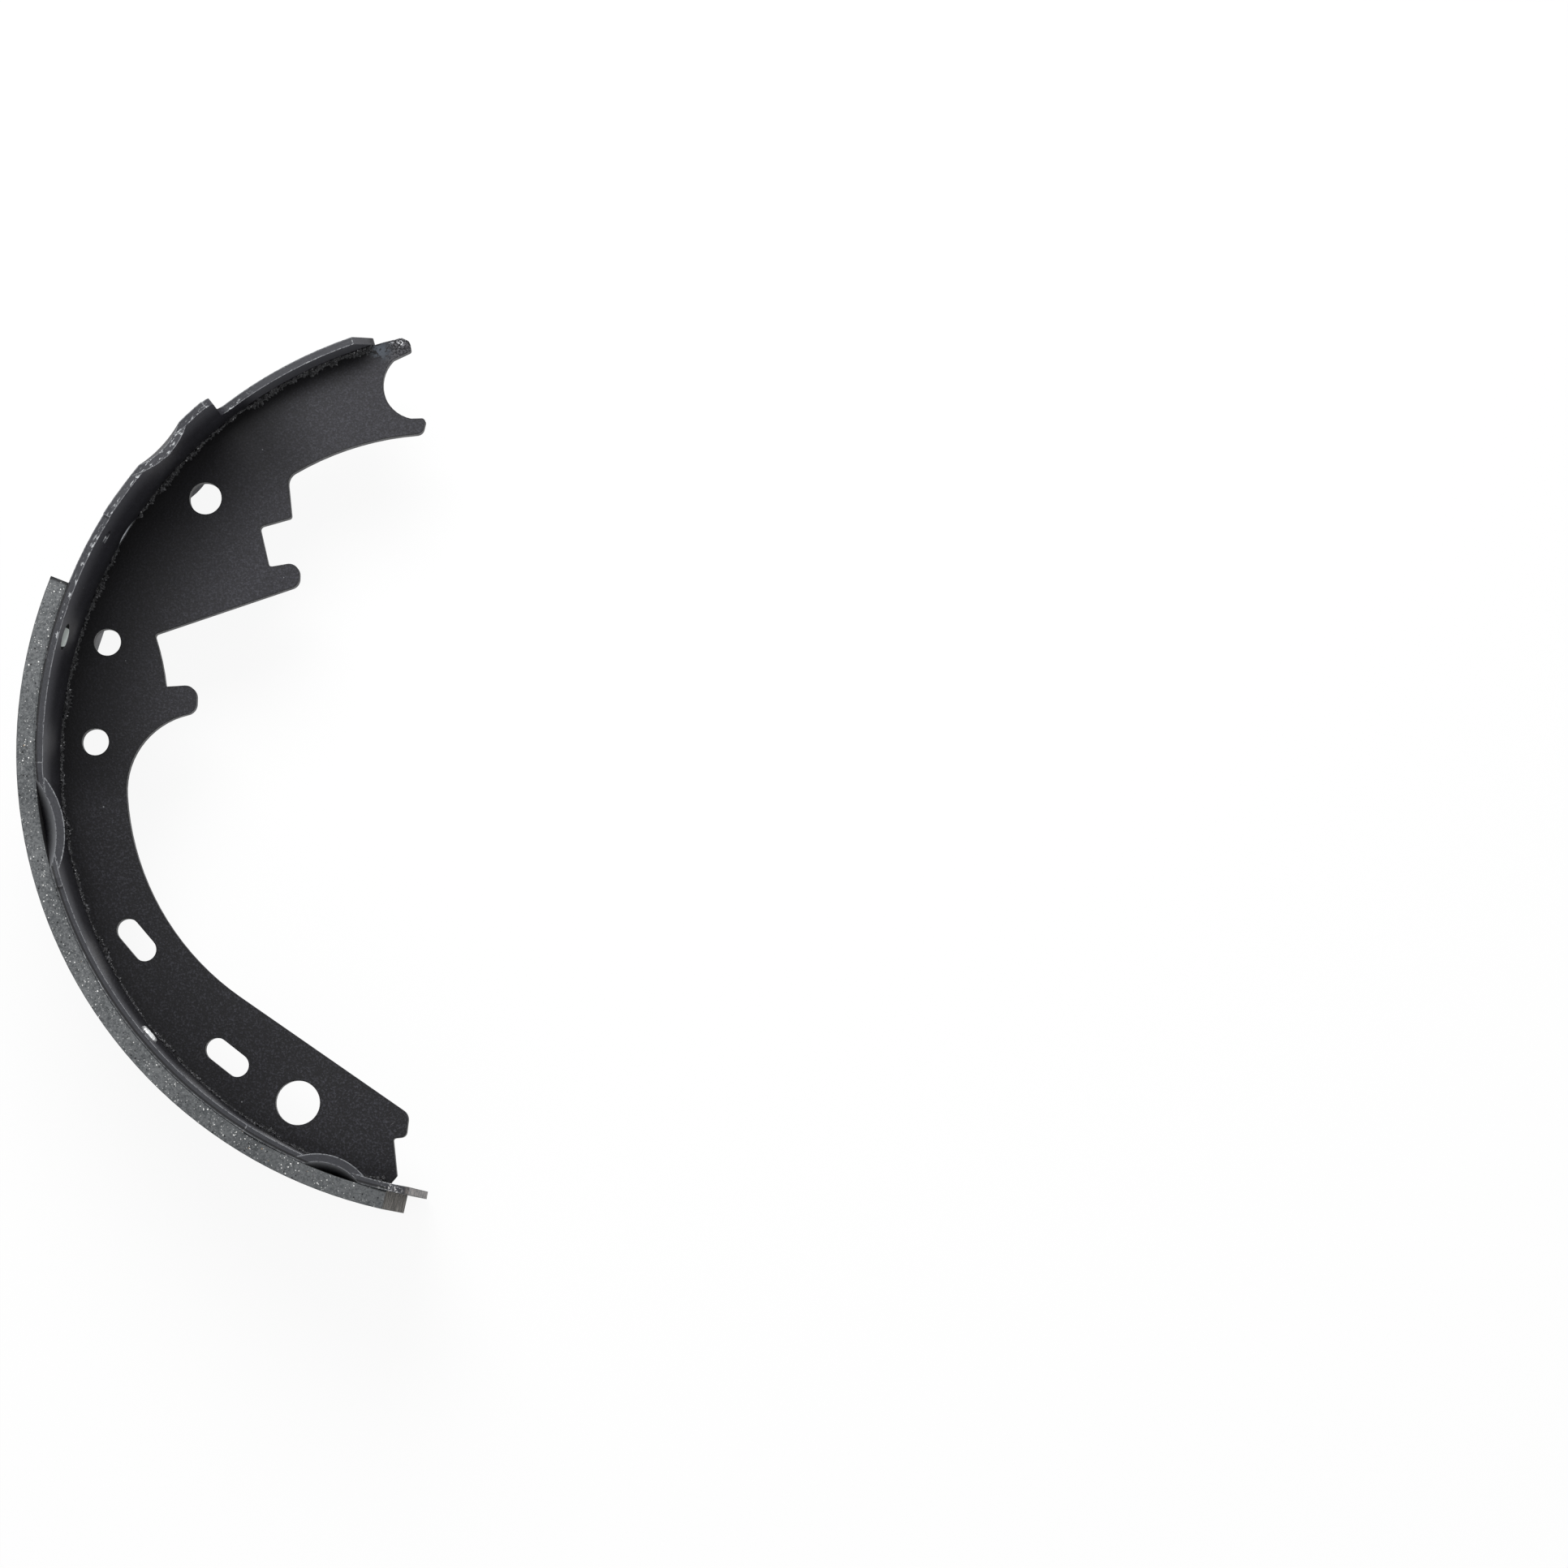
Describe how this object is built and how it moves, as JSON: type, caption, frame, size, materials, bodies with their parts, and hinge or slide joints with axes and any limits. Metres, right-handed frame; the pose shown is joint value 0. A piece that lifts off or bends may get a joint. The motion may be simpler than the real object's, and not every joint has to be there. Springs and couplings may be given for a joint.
{
  "type": "brake shoe",
  "caption": "Drum brake shoe: curved table with nib pads and a narrow tongue, a welded web with anchor seat, hooks and slots, and a riveted friction lining.",
  "frame": {"origin": "middle of the shoe's box in X and Y, on the surface that the shoe lies on with one edge of its table down", "axes": "+Z is parallel to the drum axis and square to the web; +Y runs from the adjuster end towards the anchor end; -X points from the drum axis to the middle of the lining"},
  "size_m": [0.1186, 0.265, 0.0774],
  "materials": {
    "shoe_coat": "thin satin black coat on pressed steel, fine grain, bare metal where the pad edges were coined",
    "friction": "ground semi-metallic friction compound with pale and bronze flecks and dark pits",
    "rivet_plate": "zinc plated steel with a faint blue-green tint"
  },
  "bodies": {
    "root": {"lining": "friction", "table": "shoe_coat", "web": "shoe_coat", "rivet_1": "rivet_plate", "rivet_2": "rivet_plate", "rivet_3": "rivet_plate", "rivet_4": "rivet_plate", "rivet_5": "rivet_plate", "rivet_6": "rivet_plate"}
  },
  "joints": []
}
